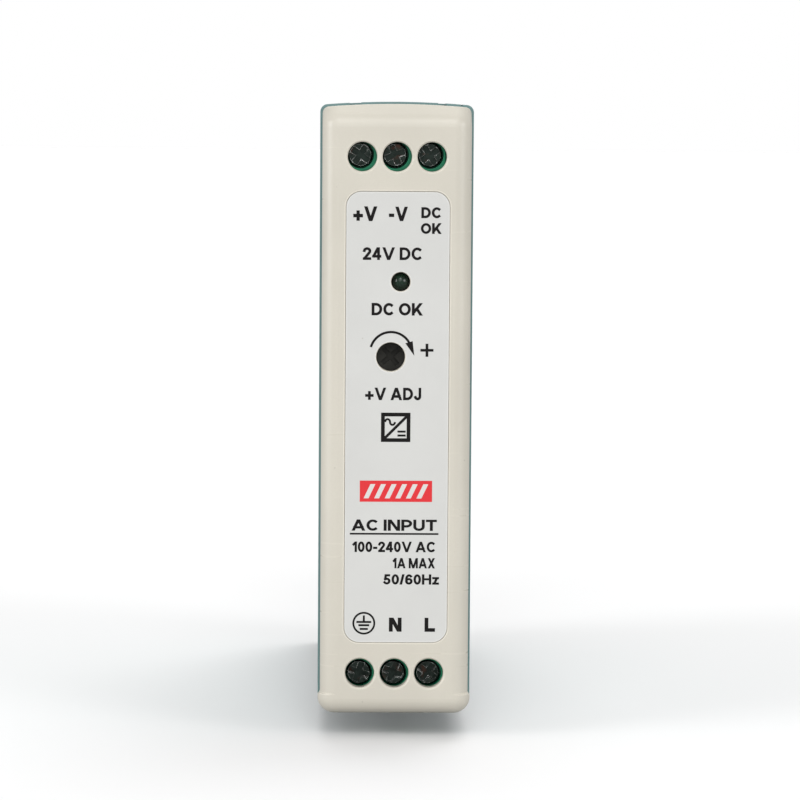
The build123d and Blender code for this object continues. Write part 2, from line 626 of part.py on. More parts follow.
def contact_bars(axis_z, wire_side, shift_x):
    """The three fixed bars that the wires are clamped against, with their board pins."""
    with BuildPart() as bars:
        for pole_x in POLES:
            x = pole_x + shift_x
            height = span(axis_z - wire_side * BAR_ROOT, axis_z + wire_side * BAR_REACH)
            block(around(x, BAR_HALF_X), BAR_Y, height)
            block(around(x, PIN_W / 2), (BAR_Y[0], PIN_END_Y), pin_height(axis_z, wire_side))
    return bars.part


for row_name, (row_z, wire_side, shift_x, shift_z) in ROWS.items():
    axis_z = row_z + shift_z
    save(terminal_block(axis_z, wire_side, shift_x), f"{row_name}_terminal_block")
    save(contact_bars(axis_z, wire_side, shift_x), f"{row_name}_contact_bars")
    for number, (pole_x, turn) in enumerate(zip(POLES, CROSS_TURNS[row_name]), start=1):
        save(terminal_screw(pole_x + shift_x, axis_z, turn), f"{row_name}_screw_{number}")
        save(clamp_cage(pole_x + shift_x, axis_z), f"{row_name}_clamp_{number}")

# ---------------------------------------------------------------- lamp, adjuster and header
LED_BASE_Y = LED_TIP_Y + LED_L

with BuildPart() as status_led:
    rod("y", (LED_X, LED_TIP_Y + LED_R, LED_Z), LED_L - LED_R, LED_R)
    with Locations((LED_X, LED_TIP_Y + LED_R, LED_Z)):
        Sphere(LED_R)
    rod("y", (LED_X, LED_BASE_Y - LED_FLANGE_T, LED_Z), LED_FLANGE_T, LED_FLANGE_R)
save(status_led.part, "status_led")

with BuildPart() as led_spacer:
    rod("y", (LED_X, LED_BASE_Y, LED_Z), FRONT_BOARD_Y - LED_BASE_Y, LED_FLANGE_R)
    for lead_x in LED_LEADS_X:
        rod("y", (lead_x, LED_BASE_Y, LED_Z), FRONT_BOARD_Y - LED_BASE_Y, LED_LEAD_R + GAP, Mode.SUBTRACT)
save(led_spacer.part, "led_spacer")

with BuildPart() as led_leads:
    for lead_x in LED_LEADS_X:
        rod("y", (lead_x, LED_BASE_Y, LED_Z), PIN_END_Y - LED_BASE_Y, LED_LEAD_R)
save(led_leads.part, "led_leads")

with BuildPart() as trimmer_body:
    trimmer_y = (FRONT_BOARD_Y - TRIMMER_H, FRONT_BOARD_Y)
    block(around(TRIMMER_X, TRIMMER_HALF), trimmer_y, around(TRIMMER_Z, TRIMMER_HALF))
    fillet(trimmer_body.edges().filter_by(Axis.Y), 0.4)
    bore_l = ROTOR_Y[1] + GAP - trimmer_y[0]
    rod("y", (TRIMMER_X, trimmer_y[0], TRIMMER_Z), bore_l, ROTOR_R + RUNNING, Mode.SUBTRACT)
save(trimmer_body.part, "trimmer_body")

with BuildPart() as trimmer_rotor:
    rod("y", (TRIMMER_X, ROTOR_Y[0], TRIMMER_Z), ROTOR_Y[1] - ROTOR_Y[0], ROTOR_R)
    chamfer(trimmer_rotor.faces().sort_by(Axis.Y)[0].edges(), HEAD_EDGE)
    with BuildSketch(Plane.XZ.offset(-ROTOR_Y[0])):
        with Locations(Location((TRIMMER_X, TRIMMER_Z), ROTOR_TURN)):
            Rectangle(ROTOR_SLOT_L, ROTOR_SLOT_W)
            Rectangle(ROTOR_SLOT_W, ROTOR_SLOT_L)
    extrude(amount=-ROTOR_SLOT_DEPTH, mode=Mode.SUBTRACT)
save(trimmer_rotor.part, "trimmer_rotor")

BEND_Y = MAIN_Y[0] + HEADER_BEND

with BuildPart() as board_header:
    header_z = (HEADER_Z[0] - HEADER_PITCH / 2, HEADER_Z[-1] + HEADER_PITCH / 2)
    block((MAIN_X - HEADER_D, MAIN_X), (MAIN_Y[0], MAIN_Y[0] + HEADER_D), header_z)
    for pin_z in HEADER_Z:
        slot_x = (HEADER_X - HEADER_PIN, MAIN_X)
        block(slot_x, (MAIN_Y[0], BEND_Y), around(pin_z, HEADER_PIN), Mode.SUBTRACT)
save(board_header.part, "board_header")

with BuildPart() as header_pins:
    # right-angle pins: out of the terminal board, through the header, into the main board
    for pin_z in HEADER_Z:
        pin_square = around(pin_z, HEADER_PIN)
        block(around(HEADER_X, HEADER_PIN), (FRONT_BOARD_Y - 2 * RUNNING, BEND_Y), pin_square)
        block((HEADER_X - HEADER_PIN, LEAD_END_X), (BEND_Y - 2 * HEADER_PIN, BEND_Y), pin_square)
save(header_pins.part, "header_pins")

with BuildPart() as terminal_board:
    board_z = (INNER_BOTTOM_Z + BOARD_MARGIN, INNER_TOP_Z - BOARD_MARGIN)
    block(around(0, TERMINAL_BOARD_HALF_W), BOARD_DEPTH, board_z)
    for row_z, wire_side, shift_x, shift_z in ROWS.values():
        low, high = pin_height(row_z + shift_z, wire_side)
        for pole_x in POLES:
            hole_x = around(pole_x + shift_x, PIN_W / 2 + GAP)
            block(hole_x, BOARD_DEPTH, (low - GAP, high + GAP), Mode.SUBTRACT)
    for lead_x in LED_LEADS_X:
        rod("y", (lead_x, FRONT_BOARD_Y, LED_Z), BOARD_T, LED_LEAD_R + GAP, Mode.SUBTRACT)
    for pin_z in HEADER_Z:
        hole_x = around(HEADER_X, HEADER_PIN + GAP)
        block(hole_x, BOARD_DEPTH, around(pin_z, HEADER_PIN + GAP), Mode.SUBTRACT)
save(terminal_board.part, "terminal_board")


# ---------------------------------------------------------------- mains side of the main board
def stand(height):
    """X range of a component of this height standing on the main board."""
    return (MAIN_X - height, MAIN_X)


def two_leads(centre):
    """Note the two leads of a disc, can or drum, one above the other."""
    y, z = centre
    lead_spots.extend([(y, z - DISC_PITCH / 2), (y, z + DISC_PITCH / 2)])


def dipped_disc(centre, radius, thickness):
    """A dipped disc standing on its edge, its flat faces towards the front and the back."""
    with BuildPart() as disc:
        start = (MAIN_X - DISC_STAND - radius, centre[0] - thickness / 2, centre[1])
        rod("y", start, thickness, radius)
        fillet(disc.edges(), 0.2 * thickness)
    two_leads(centre)
    return disc.part


with BuildPart() as fuse:
    rod("x", (MAIN_X - FUSE_H, *FUSE), FUSE_H, FUSE_R)
    fillet(fuse.faces().sort_by(Axis.X)[0].edges(), 0.8)
two_leads(FUSE)
save(fuse.part, "fuse")

save(dipped_disc(THERMISTOR, THERMISTOR_R, THERMISTOR_T), "inrush_thermistor")
save(dipped_disc(VARISTOR, VARISTOR_R, VARISTOR_T), "surge_varistor")

with BuildPart() as x_capacitor:
    block(stand(X_CAP_H), around(X_CAP[0], X_CAP_HALF[0]), around(X_CAP[1], X_CAP_HALF[1]))
    fillet(x_capacitor.edges().filter_by(Axis.X), 0.5)
two_leads(X_CAP)
save(x_capacitor.part, "x_capacitor")

with BuildPart() as choke_core:
    tube("y", (CHOKE_X, CHOKE[0] - CHOKE_T / 2, CHOKE[1]), CHOKE_T, CHOKE_OUTER_R, CHOKE_INNER_R)
save(choke_core.part, "choke_core")

with BuildPart(mode=Mode.PRIVATE) as core_space:
    tube(
        "y",
        (CHOKE_X, CHOKE[0] - CHOKE_T / 2 - WINDING_PLAY, CHOKE[1]),
        CHOKE_T + 2 * WINDING_PLAY,
        CHOKE_OUTER_R + WINDING_PLAY,
        CHOKE_INNER_R - WINDING_PLAY,
    )

with BuildPart() as choke_windings:
    # two windings, each wrapped round one side of the core
    tube(
        "y",
        (CHOKE_X, CHOKE[0] - CHOKE_T / 2 - WINDING_T, CHOKE[1]),
        CHOKE_T + 2 * WINDING_T,
        CHOKE_OUTER_R + WINDING_T,
        CHOKE_INNER_R - WINDING_T,
    )
    add(core_space.part, mode=Mode.SUBTRACT)
    reach = CHOKE_OUTER_R + CHOKE_T
    block(around(CHOKE_X, reach), around(CHOKE[0], reach), around(CHOKE[1], WINDING_SPLIT), Mode.SUBTRACT)
for lead_y in around(CHOKE[0], 2.5):
    for lead_z in around(CHOKE[1], 4.0):
        lead_spots.append((lead_y, lead_z))
save(choke_windings.part, "choke_windings")

with BuildPart() as bridge_rectifier:
    block(stand(BRIDGE_H), around(BRIDGE[0], BRIDGE_HALF[0]), around(BRIDGE[1], BRIDGE_HALF[1]))
    chamfer(bridge_rectifier.faces().sort_by(Axis.X)[0].edges(), 0.4)
for lead_y in around(BRIDGE[0], 2.0):
    for lead_z in around(BRIDGE[1], 2.5):
        lead_spots.append((lead_y, lead_z))
save(bridge_rectifier.part, "bridge_rectifier")

with BuildPart() as bulk_capacitor:
    rod("z", (BULK_X, BULK_Y, BULK_Z[0]), BULK_Z[1] - BULK_Z[0], BULK_R)
    fillet(bulk_capacitor.edges(), 0.8)
    # rolled groove near the lead end
    with BuildSketch(Plane.XZ.offset(-BULK_Y)) as groove:
        with Locations((BULK_X - BULK_R, BULK_Z[1] - GROOVE_DROP)):
            Circle(GROOVE_R)
    revolve(axis=Axis((BULK_X, BULK_Y, 0), (0, 0, 1)), mode=Mode.SUBTRACT)
save(bulk_capacitor.part, "bulk_capacitor")


# ---------------------------------------------------------------- power devices on their heatsinks
def heatsink(z):
    """A folded aluminium plate standing behind its power device, with a lip along its free edge."""
    with BuildPart() as sink:
        block(SINK_X, SINK_Y, z)
        block((SINK_X[0], SINK_X[0] + SINK_T), (SINK_Y[0], SINK_Y[1] + SINK_LIP), z)
        hole = (FIXING_X, SINK_Y[0], sum(z) / 2)
        rod("y", hole, SINK_Y[1] - SINK_Y[0], FIXING_R + SEAT_PLAY, Mode.SUBTRACT)
    return sink.part


def power_device(mid_z):
    """A fully moulded three-lead power device with a fixing hole."""
    front_y = SINK_Y[0] - DEVICE_T
    with BuildPart() as device:
        block(DEVICE_X, (front_y, SINK_Y[0]), around(mid_z, DEVICE_HALF_Z))
        chamfer(device.edges().filter_by(Axis.X).group_by(Axis.Y)[0], 0.8)
        rod("y", (FIXING_X, front_y, mid_z), DEVICE_T, FIXING_R + GAP, Mode.SUBTRACT)
        for leg_z in DEVICE_LEGS:
            leg_y = around(DEVICE_LEG_Y, DEVICE_LEG_HALF[0])
            block((DEVICE_X[1], MAIN_X), leg_y, around(mid_z + leg_z, DEVICE_LEG_HALF[1]))
            lead_spots.append((DEVICE_LEG_Y, mid_z + leg_z))
    return device.part


PRIMARY_MID_Z, OUTPUT_MID_Z = (sum(z) / 2 for z in SINK_Z.values())
save(heatsink(SINK_Z["primary"]), "primary_heatsink")
save(power_device(PRIMARY_MID_Z), "switching_transistor")
save(heatsink(SINK_Z["output"]), "output_heatsink")
save(power_device(OUTPUT_MID_Z), "output_rectifier")

with BuildPart() as heatsink_screws:
    head_y = SINK_Y[0] - DEVICE_T - FIXING_HEAD_H
    for mid_z in (PRIMARY_MID_Z, OUTPUT_MID_Z):
        rod("y", (FIXING_X, head_y, mid_z), FIXING_HEAD_H, FIXING_HEAD_R)
        rod("y", (FIXING_X, head_y, mid_z), SINK_Y[1] + FIXING_END - head_y, FIXING_R)
        rod("y", (FIXING_X, head_y, mid_z), FIXING_HEAD_H / 2, 0.6, Mode.SUBTRACT)
save(heatsink_screws.part, "heatsink_screws")

# ---------------------------------------------------------------- transformer
with BuildPart() as transformer_core:
    core_x = around(0, CORE_HALF[0])
    for side in (-1, 1):
        half_y = span(CORE[0] + side * CORE_AIR_GAP, CORE[0] + side * CORE_HALF[1])
        block(core_x, half_y, around(CORE[1], CORE_HALF[2]))
    for side in (-1, 1):
        window_z = span(CORE[1] + side * CORE_WINDOW_Z[0], CORE[1] + side * CORE_WINDOW_Z[1])
        block(core_x, around(CORE[0], CORE_WINDOW_HALF_Y), window_z, Mode.SUBTRACT)
save(transformer_core.part, "transformer_core")

BOBBIN_TUBE = BOBBIN_BORE + BOBBIN_WALL
BOBBIN_Y = around(CORE[0], BOBBIN_HALF_Y)

with BuildPart() as transformer_bobbin:
    block(around(0, BOBBIN_TUBE), BOBBIN_Y, around(CORE[1], BOBBIN_TUBE))
    for side in (-1, 1):
        inner_y = CORE[0] + side * (BOBBIN_HALF_Y - BOBBIN_FLANGE_T)
        outer_y = CORE[0] + side * BOBBIN_HALF_Y
        rail_y = CORE[0] + side * (CORE_HALF[1] + BOBBIN_RAIL_END)
        flange_height = around(CORE[1], BOBBIN_FLANGE[1])
        block(around(0, BOBBIN_FLANGE[0]), span(inner_y, outer_y), flange_height)
        block((BOBBIN_RAIL_X, MAIN_X), span(inner_y, rail_y), flange_height)
        for pin_z in BOBBIN_PINS:
            lead_spots.append((CORE[0] + side * BOBBIN_PIN_Y, CORE[1] + pin_z))
    block(around(0, BOBBIN_BORE), BOBBIN_Y, around(CORE[1], BOBBIN_BORE), Mode.SUBTRACT)
save(transformer_bobbin.part, "transformer_bobbin")

with BuildPart() as transformer_windings:
    coil_y = around(CORE[0], BOBBIN_HALF_Y - BOBBIN_FLANGE_T - GAP)
    block(around(0, COIL_HALF[0]), coil_y, around(CORE[1], COIL_HALF[1]))
    fillet(transformer_windings.edges().filter_by(Axis.Y), COIL_R)
    core_tube = BOBBIN_TUBE + WINDING_PLAY
    block(around(0, core_tube), coil_y, around(CORE[1], core_tube), Mode.SUBTRACT)
save(transformer_windings.part, "transformer_windings")

# ---------------------------------------------------------------- control and output side
with BuildPart() as controller_ic:
    y, z = CONTROLLER
    block(stand(CONTROLLER_H), around(y, CONTROLLER_HALF[0]), around(z, CONTROLLER_HALF[1]))
    for side in (-1, 1):
        for foot_z in CONTROLLER_FEET:
            foot_y = span(y + side * CONTROLLER_HALF[0], y + side * (CONTROLLER_HALF[0] + 1.05))
            block(stand(0.25), foot_y, around(z + foot_z, 0.2))
save(controller_ic.part, "controller_ic")

with BuildPart() as optocoupler:
    block(stand(OPTO_H), around(OPTO[0], OPTO_HALF[0]), around(OPTO[1], OPTO_HALF[1]))
    chamfer(optocoupler.faces().sort_by(Axis.X)[0].edges(), 0.3)
for lead_y in around(OPTO[0], 1.3):
    for lead_z in around(OPTO[1], 2.5):
        lead_spots.append((lead_y, lead_z))
save(optocoupler.part, "optocoupler")

save(dipped_disc(Y_CAP, Y_CAP_R, Y_CAP_T), "y_capacitor")

with BuildPart() as output_capacitors:
    for cap in OUTPUT_CAPS:
        rod("x", (MAIN_X - OUTPUT_CAP_H, *cap), OUTPUT_CAP_H, OUTPUT_CAP_R)
        two_leads(cap)
    fillet(output_capacitors.edges().filter_by(GeomType.CIRCLE), 0.6)
save(output_capacitors.part, "output_capacitors")

with BuildPart() as output_inductor:
    # drum core with its winding between two flanges
    rod("x", (MAIN_X - INDUCTOR_H, *INDUCTOR), INDUCTOR_H, INDUCTOR_R)
    flange_r, flange_t = INDUCTOR_FLANGE
    for flange_x in (MAIN_X - INDUCTOR_H, MAIN_X - flange_t):
        rod("x", (flange_x, *INDUCTOR), flange_t, flange_r)
two_leads(INDUCTOR)
save(output_inductor.part, "output_inductor")

with BuildPart() as chip_parts:
    for chip_y in CHIP_Y:
        for chip_z in CHIP_Z:
            block(stand(CHIP_H), around(chip_y, CHIP_HALF[0]), around(chip_z, CHIP_HALF[1]))
save(chip_parts.part, "chip_parts")

with BuildPart() as component_leads:
    for lead_y, lead_z in lead_spots:
        rod("x", (MAIN_X, lead_y, lead_z), LEAD_END_X - MAIN_X, LEAD_R)
save(component_leads.part, "component_leads")

with BuildPart() as main_board:
    block(BOARD_X, MAIN_Y, MAIN_Z)
    for lead_y, lead_z in lead_spots:
        rod("x", (MAIN_X, lead_y, lead_z), BOARD_T, LEAD_HOLE_R, Mode.SUBTRACT)
    for pin_z in HEADER_Z:
        hole_y = around(BEND_Y - HEADER_PIN, HEADER_PIN + GAP)
        block(BOARD_X, hole_y, around(pin_z, HEADER_PIN + GAP), Mode.SUBTRACT)
save(main_board.part, "main_board")

# ---------------------------------------------------------------- rail latch and its spring
with BuildPart() as rail_latch:
    block(around(0, LATCH_HALF_W), LATCH_Y, (LATCH_END_Z, LATCH_LIP_Z))
    # lead-in ramp, so that the rail's lower flange can push the latch down
    top_edges = rail_latch.edges().filter_by(Axis.X).group_by(Axis.Z)[-1]
    chamfer(top_edges.sort_by(Axis.Y)[0], LATCH_RAMP)
    fillet(rail_latch.edges().filter_by(Axis.Y).group_by(Axis.Z)[0], LATCH_RAMP)
    # window for the spring and its post; its lower edge stops against the post
    window_z = (SPRING_Z[0] - POST_T - POST_PLAY, SPRING_Z[1])
    block(around(0, LATCH_WINDOW_HALF), LATCH_Y, window_z, Mode.SUBTRACT)
    # slot in the tab for a screwdriver's blade
    block(around(0, TOOL_SLOT_HALF), LATCH_Y, TOOL_SLOT_Z, Mode.SUBTRACT)
save(rail_latch.part, "rail_latch")

with BuildPart() as latch_spring:
    wire_edge = SPRING_WIRE_R + SPRING_PLAY
    coil_h = SPRING_Z[1] - SPRING_Z[0] - 2 * wire_edge
    coil_centre = (0, sum(LATCH_Y) / 2, SPRING_Z[0] + wire_edge)
    with BuildLine() as coil:
        Helix(coil_h / SPRING_TURNS, coil_h, SPRING_R, center=coil_centre)
    with BuildSketch(Plane(coil.line @ 0, z_dir=coil.line % 0)):
        Circle(SPRING_WIRE_R)
    sweep(path=coil.line, is_frenet=True)
save(latch_spring.part, "latch_spring")
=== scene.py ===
"""Looks of a slim rail-mounted power supply: finishes, label, latch spring, stage, light and camera."""

import bmesh
import bpy
import json
import math
from mathutils import Matrix, Vector
from mathutils.geometry import delaunay_2d_cdt


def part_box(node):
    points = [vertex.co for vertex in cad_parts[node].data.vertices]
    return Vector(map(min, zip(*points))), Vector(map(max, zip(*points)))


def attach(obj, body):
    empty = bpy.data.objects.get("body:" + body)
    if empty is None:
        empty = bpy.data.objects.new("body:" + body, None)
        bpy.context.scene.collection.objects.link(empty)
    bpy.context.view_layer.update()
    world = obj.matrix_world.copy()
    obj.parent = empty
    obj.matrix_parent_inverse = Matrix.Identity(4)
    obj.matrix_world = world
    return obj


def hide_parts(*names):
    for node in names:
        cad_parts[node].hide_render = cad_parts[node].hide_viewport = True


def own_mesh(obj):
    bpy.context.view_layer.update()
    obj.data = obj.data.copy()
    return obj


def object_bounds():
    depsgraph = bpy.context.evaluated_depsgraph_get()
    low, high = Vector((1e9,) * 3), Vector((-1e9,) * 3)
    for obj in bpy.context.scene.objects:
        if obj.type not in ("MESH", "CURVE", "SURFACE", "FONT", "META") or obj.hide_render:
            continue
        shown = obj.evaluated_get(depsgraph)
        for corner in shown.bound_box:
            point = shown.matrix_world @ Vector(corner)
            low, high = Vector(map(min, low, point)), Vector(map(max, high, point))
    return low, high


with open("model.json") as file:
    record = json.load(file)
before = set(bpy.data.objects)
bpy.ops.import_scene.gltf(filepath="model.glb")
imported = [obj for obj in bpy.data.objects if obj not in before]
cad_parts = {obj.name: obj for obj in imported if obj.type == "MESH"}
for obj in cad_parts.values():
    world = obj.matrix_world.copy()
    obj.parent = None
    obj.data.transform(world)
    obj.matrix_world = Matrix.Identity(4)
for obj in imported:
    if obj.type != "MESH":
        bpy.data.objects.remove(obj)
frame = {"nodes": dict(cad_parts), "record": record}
cad_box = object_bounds()

MM = 0.001
NODES = frame["nodes"]


def add_object(name, mesh, material):
    """Turn a finished bmesh into an object of the scene."""
    data = bpy.data.meshes.new(name)
    mesh.to_mesh(data)
    mesh.free()
    data.materials.append(material)
    obj = bpy.data.objects.new(name, data)
    bpy.context.scene.collection.objects.link(obj)
    return obj


# ---------------------------------------------------------------- finishes
def screen(r, g, b):
    """An 8-bit screen colour as linear RGBA."""
    def linear(c):
        c /= 255
        return c / 12.92 if c <= 0.04045 else ((c + 0.055) / 1.055) ** 2.4
    return (linear(r), linear(g), linear(b), 1.0)


def shade(colour, factor):
    """The same colour, lighter or darker."""
    return tuple(min(1.0, c * factor) for c in colour[:3]) + (1.0,)


FACE_LIGHT = 1.37  # light on the face, as a share of what shows a colour at its own value


def seen(r, g, b):
    """The surface colour that looks like this 8-bit screen colour on the lit face."""
    return shade(screen(r, g, b), 1 / FACE_LIGHT)


class Finish:
    """A procedural material being built round one Principled shader, in the object's own coordinates."""

    def __init__(self, name, roughness=0.5, metallic=0.0, specular=0.5):
        self.material = bpy.data.materials.new(name)
        self.material.use_nodes = True
        self.tree = self.material.node_tree
        self.shader = self.tree.nodes["Principled BSDF"]
        self.shader.inputs["Roughness"].default_value = roughness
        self.shader.inputs["Metallic"].default_value = metallic
        self.shader.inputs["Specular IOR Level"].default_value = specular
        self.place = self.tree.nodes.new("ShaderNodeTexCoord").outputs["Object"]
        self.normal = None

    def link(self, source, target):
        self.tree.links.new(source, target)

    def stretched(self, stretch, turn=(0, 0, 0)):
        """Object coordinates scaled by stretch, after a turn in degrees."""
        mapping = self.tree.nodes.new("ShaderNodeMapping")
        mapping.inputs["Scale"].default_value = stretch
        mapping.inputs["Rotation"].default_value = [math.radians(a) for a in turn]
        self.link(self.place, mapping.inputs["Vector"])
        return mapping.outputs["Vector"]

    def noise(self, size_mm, detail=3.0, grain=0.55, place=None):
        """Smooth noise whose blotches are about size_mm across."""
        node = self.tree.nodes.new("ShaderNodeTexNoise")
        node.inputs["Scale"].default_value = 1.0 / (size_mm * MM)
        node.inputs["Detail"].default_value = detail
        node.inputs["Roughness"].default_value = grain
        self.link(place or self.place, node.inputs["Vector"])
        return node.outputs["Fac"]

    def cells(self, size_mm):
        """Distance to the nearest of scattered points about size_mm apart, in cell widths."""
        node = self.tree.nodes.new("ShaderNodeTexVoronoi")
        node.inputs["Scale"].default_value = 1.0 / (size_mm * MM)
        self.link(self.place, node.inputs["Vector"])
        return node.outputs["Distance"]

    def band(self, value, low, high, out_low=0.0, out_high=1.0):
        """Value from low to high mapped, and clamped, to out_low to out_high."""
        node = self.tree.nodes.new("ShaderNodeMapRange")
        node.inputs["From Min"].default_value = low
        node.inputs["From Max"].default_value = high
        node.inputs["To Min"].default_value = out_low
        node.inputs["To Max"].default_value = out_high
        self.link(value, node.inputs["Value"])
        return node.outputs["Result"]

    def maths(self, operation, a, b):
        """Two values, each a number or a socket, put through one Math node."""
        node = self.tree.nodes.new("ShaderNodeMath")
        node.operation = operation
        for socket, value in zip(node.inputs, (a, b)):
            if isinstance(value, (int, float)):
                socket.default_value = value
            else:
                self.link(value, socket)
        return node.outputs[0]

    def mix(self, factor, a, b):
        """Colour a where factor is 0, b where it is 1."""
        node = self.tree.nodes.new("ShaderNodeMix")
        node.data_type = "RGBA"
        sockets = [s for s in node.inputs if s.type == "RGBA"]
        for socket, value in zip(sockets, (a, b)):
            if isinstance(value, tuple):
                socket.default_value = value
            else:
                self.link(value, socket)
        self.link(factor, node.inputs["Factor"])
        return [s for s in node.outputs if s.type == "RGBA"][0]

    def edges(self, radius_mm):
        """1 along sharp edges, 0 on open faces."""
        bevel = self.tree.nodes.new("ShaderNodeBevel")
        bevel.samples = 4
        bevel.inputs["Radius"].default_value = radius_mm * MM
        geometry = self.tree.nodes.new("ShaderNodeNewGeometry")
        dot = self.tree.nodes.new("ShaderNodeVectorMath")
        dot.operation = "DOT_PRODUCT"
        self.link(bevel.outputs["Normal"], dot.inputs[0])
        self.link(geometry.outputs["Normal"], dot.inputs[1])
        return self.band(dot.outputs["Value"], 0.98, 0.80)

    def soften(self, radius_mm):
        """Round the look of sharp moulded edges."""
        bevel = self.tree.nodes.new("ShaderNodeBevel")
        bevel.samples = 4
        bevel.inputs["Radius"].default_value = radius_mm * MM
        self.normal = bevel.outputs["Normal"]

    def bump(self, height, depth_mm, strength=1.0):
        """Raise the surface by up to depth_mm where height is 1."""
        node = self.tree.nodes.new("ShaderNodeBump")
        node.inputs["Distance"].default_value = depth_mm * MM
        node.inputs["Strength"].default_value = strength
        self.link(height, node.inputs["Height"])
        if self.normal is not None:
            self.link(self.normal, node.inputs["Normal"])
        self.normal = node.outputs["Normal"]

    def done(self, colour=None, roughness=None):
        """Connect what was built and return the material."""
        if isinstance(colour, tuple):
            self.shader.inputs["Base Color"].default_value = colour
        elif colour is not None:
            self.link(colour, self.shader.inputs["Base Color"])
        if roughness is not None:
            self.link(roughness, self.shader.inputs["Roughness"])
        if self.normal is not None:
            self.link(self.normal, self.shader.inputs["Normal"])
        return self.material


def moulded(name, colour, roughness=0.5, grain_mm=0.3, grain_depth=0.006, scuffs=0.3, edge_wear_and_highlight_tone=1.06,
            specular=0.45):
    """Spark-textured injection moulding: faint cloudiness, fine grain, hairline scuffs, specks, and sharp
    edges lightened by a painted highlight with a little edge wear.
    """
    f = Finish(name, roughness, specular=specular)
    clouds = f.noise(14, 3)
    tone = f.mix(f.band(clouds, 0.35, 0.65), shade(colour, 0.965), shade(colour, 1.025))
    grain = f.noise(grain_mm, 2, 0.6)
    tone = f.mix(f.band(grain, 0.3, 0.7, 0.0, 0.35), tone, shade(colour, 0.93))
    specks = f.band(f.cells(4.2), 0.035, 0.02)
    tone = f.mix(f.maths("MULTIPLY", specks, 0.35), tone, shade(colour, 0.45))
    hair = f.noise(1.0, 1, 0.5, f.stretched((0.05, 0.05, 1.6), (12, 8, 0)))
    hair_line = f.band(hair, 0.700, 0.715)
    tone = f.mix(f.maths("MULTIPLY", hair_line, scuffs), tone, shade(colour, 1.12))
    # painted highlight: sharp edges and hole rims lightened, a little edge wear but mostly painted light
    tone = f.mix(f.maths("MULTIPLY", f.edges(0.42), 0.9), tone, shade(colour, edge_wear_and_highlight_tone))
    f.soften(0.12)
    f.bump(grain, grain_depth, 0.6)
    worn = f.band(f.noise(6, 4), 0.3, 0.7, roughness - 0.06, roughness + 0.07)
    return f.done(tone, f.maths("SUBTRACT", worn, f.maths("MULTIPLY", hair_line, 0.1)))


def dipped(name, colour, roughness=0.32):
    """Epoxy-dipped or sleeved component: glossy, slightly uneven."""
    f = Finish(name, roughness, specular=0.5)
    uneven = f.noise(2.2, 3)
    tone = f.mix(f.band(uneven, 0.3, 0.7), shade(colour, 0.85), shade(colour, 1.12))
    dust = f.noise(0.35, 4, 0.7)
    tone = f.mix(f.band(dust, 0.6, 0.8, 0, 0.25), tone, screen(150, 148, 140))
    f.soften(0.15)
    f.bump(uneven, 0.05, 0.4)
    return f.done(tone, f.band(dust, 0.35, 0.75, roughness - 0.05, roughness + 0.15))


def metal(name, colour, roughness=0.3, brushed=(1, 1, 0.06)):
    """Plated or bare metal with brushing, oxidised patches, small dents, and sharp edges lightened by a
    painted highlight with some edge wear.
    """
    f = Finish(name, roughness, metallic=1.0)
    lines = f.noise(0.12, 3, 0.6, f.stretched(brushed))
    patches = f.noise(1.1, 4, 0.65)
    tone = f.mix(f.band(lines, 0.3, 0.7), shade(colour, 0.86), shade(colour, 1.1))
    tone = f.mix(f.band(patches, 0.52, 0.72, 0, 0.3), tone, shade(colour, 0.55))
    # painted highlight: sharp edges lightened, partly edge wear
    tone = f.mix(f.maths("MULTIPLY", f.edges(0.12), 0.6), tone, shade(colour, 1.5))
    f.soften(0.06)
    f.bump(lines, 0.004, 0.5)
    f.bump(patches, 0.015, 0.35)
    return f.done(tone, f.band(patches, 0.35, 0.7, roughness - 0.08, roughness + 0.2))


def board(name, colour):
    """Solder mask over copper tracks on glass-fibre laminate."""
    f = Finish(name, 0.34)
    tracks = f.noise(3.0, 0, 0.5, f.stretched((0.7, 1, 0.45)))
    copper = f.band(tracks, 0.485, 0.5)
    tone = f.mix(copper, shade(colour, 0.8), shade(colour, 1.45))
    weave = f.noise(0.25, 2)
    tone = f.mix(f.band(weave, 0.35, 0.7, 0, 0.2), tone, shade(colour, 0.5))
    f.bump(copper, 0.03, 0.7)
    f.bump(weave, 0.006, 0.4)
    return f.done(tone, f.band(weave, 0.3, 0.7, 0.28, 0.42))


def wound(name, colour, pitch_mm=0.45):
    """Close turns of enamelled wire, with painted shade darkening the grooves between turns."""
    f = Finish(name, 0.26, metallic=0.75)
    wave = f.tree.nodes.new("ShaderNodeTexWave")
    wave.inputs["Scale"].default_value = 0.31 / (pitch_mm * MM)
    wave.inputs["Distortion"].default_value = 1.2
    wave.inputs["Detail"].default_value = 2
    wave.inputs["Detail Scale"].default_value = 1.5
    wave.bands_direction = "Z"
    f.link(f.place, wave.inputs["Vector"])
    turns = wave.outputs["Fac"]
    # painted shade: the grooves between turns darkened
    tone = f.mix(f.band(turns, 0.1, 0.8), shade(colour, 0.25), shade(colour, 1.15))
    tone = f.mix(f.band(f.noise(2.5, 3), 0.4, 0.7, 0, 0.35), tone, shade(colour, 0.6))
    f.bump(turns, 0.15, 0.8)
    return f.done(tone, f.band(f.noise(0.8, 3), 0.3, 0.7, 0.2, 0.36))


